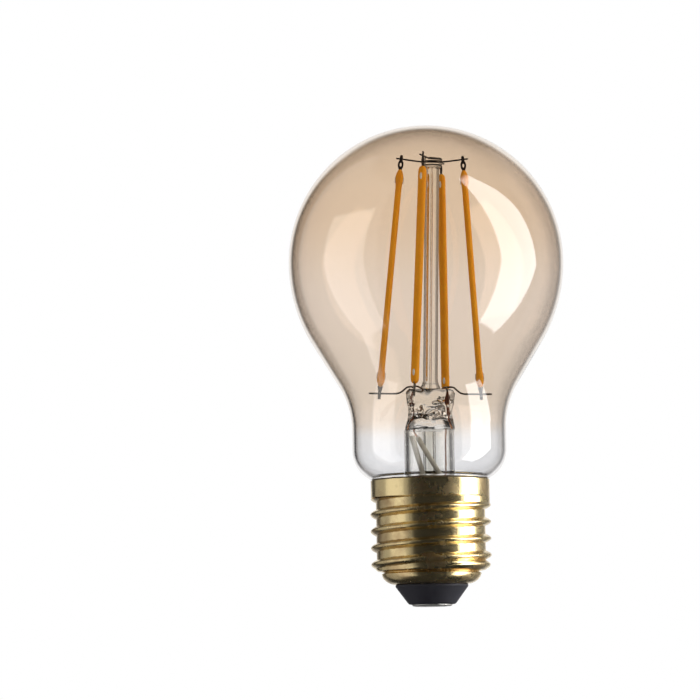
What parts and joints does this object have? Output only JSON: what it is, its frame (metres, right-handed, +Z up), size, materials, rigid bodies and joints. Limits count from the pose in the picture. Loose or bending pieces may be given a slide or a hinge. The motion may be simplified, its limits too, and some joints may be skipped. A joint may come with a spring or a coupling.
{
  "type": "smart light bulb",
  "caption": "Screw-in filament-style LED light bulb with an amber-tinted pear-shaped glass, a glass stem carrying upright filaments, and a brass screw cap with a wireless driver inside.",
  "frame": {"origin": "middle of the contact face at the cap's foot, on the bulb's axis", "axes": "+Z up the bulb's axis from the contact to the crown; -Y is the front, where the press is seen broad side on; +X to its right"},
  "size_m": [0.06, 0.06, 0.105],
  "materials": {
    "amber_glass": "clear glass with an amber tint that fades out at the neck",
    "clear_glass": "clear lead-free tube glass",
    "cap_brass": "thin pressed brass sheet, bright, a little tarnished",
    "contact_nickel": "nickel-plated contact",
    "insulator_black": "black glassy insulator, semi-gloss",
    "basing_cement": "brown basing cement",
    "seal_wire": "copper-clad seal wire, reddish in the glass",
    "lead_nickel": "nickel-plated lead wire",
    "support_wire": "dark oxidised support wire",
    "copper_wire": "bare copper wire",
    "sleeve_fibre": "pale woven insulating sleeve",
    "phosphor_amber": "orange phosphor in silicone, satin",
    "strip_ceramic": "white ceramic strip",
    "led_die": "bare LED dies",
    "tab_metal": "stamped metal end tab",
    "board_laminate": "green solder-masked laminate",
    "wireless_laminate": "blue solder-masked laminate",
    "black_epoxy": "moulded black epoxy",
    "capacitor_sleeve": "shrink sleeve on an aluminium can",
    "ferrite_grey": "ferrite",
    "winding_copper": "enamelled copper winding",
    "resistor_lacquer": "lacquered resistor body",
    "shield_steel": "tinned shield can",
    "chip_ceramic": "tan ceramic chip components",
    "solder_tin": "solder",
    "live_insulation": "red insulated wire"
  },
  "bodies": {
    "root": {"antenna_sleeve": "sleeve_fibre", "antenna_wire": "copper_wire", "basing_cement": "basing_cement", "board_solder": "solder_tin", "branch_wire_back": "lead_nickel", "branch_wire_front": "lead_nickel", "bridge_rectifier": "black_epoxy", "cap_insulator": "insulator_black", "centre_contact": "contact_nickel", "centre_post": "clear_glass", "chip_components": "chip_ceramic", "choke_core": "ferrite_grey", "choke_winding": "winding_copper", "driver_board": "board_laminate", "driver_chip": "black_epoxy", "exhaust_tube": "clear_glass", "filament_back_chips": "led_die", "filament_back_coating": "phosphor_amber", "filament_back_foot_tab": "tab_metal", "filament_back_strip": "strip_ceramic", "filament_back_top_tab": "support_wire", "filament_front_chips": "led_die", "filament_front_coating": "phosphor_amber", "filament_front_foot_tab": "tab_metal", "filament_front_strip": "strip_ceramic", "filament_front_top_tab": "support_wire", "filament_left_chips": "led_die", "filament_left_coating": "phosphor_amber", "filament_left_foot_tab": "tab_metal", "filament_left_strip": "strip_ceramic", "filament_left_top_tab": "support_wire", "filament_right_chips": "led_die", "filament_right_coating": "phosphor_amber", "filament_right_foot_tab": "tab_metal", "filament_right_strip": "strip_ceramic", "filament_right_top_tab": "support_wire", "flare_tube": "clear_glass", "fuse_resistor": "resistor_lacquer", "glass_envelope": "amber_glass", "inner_lead_left": "lead_nickel", "inner_lead_right": "lead_nickel", "lead_sleeve_left": "sleeve_fibre", "lead_sleeve_right": "sleeve_fibre", "live_wire": "live_insulation", "neutral_wire": "copper_wire", "outer_lead_left": "copper_wire", "outer_lead_right": "copper_wire", "post_button": "clear_glass", "press_seal": "clear_glass", "screw_shell": "cap_brass", "seal_wire_left": "seal_wire", "seal_wire_right": "seal_wire", "smoothing_capacitor": "capacitor_sleeve", "support_wire_cross": "support_wire", "support_wire_side": "support_wire", "wireless_board": "wireless_laminate", "wireless_chip": "shield_steel"}
  },
  "joints": []
}
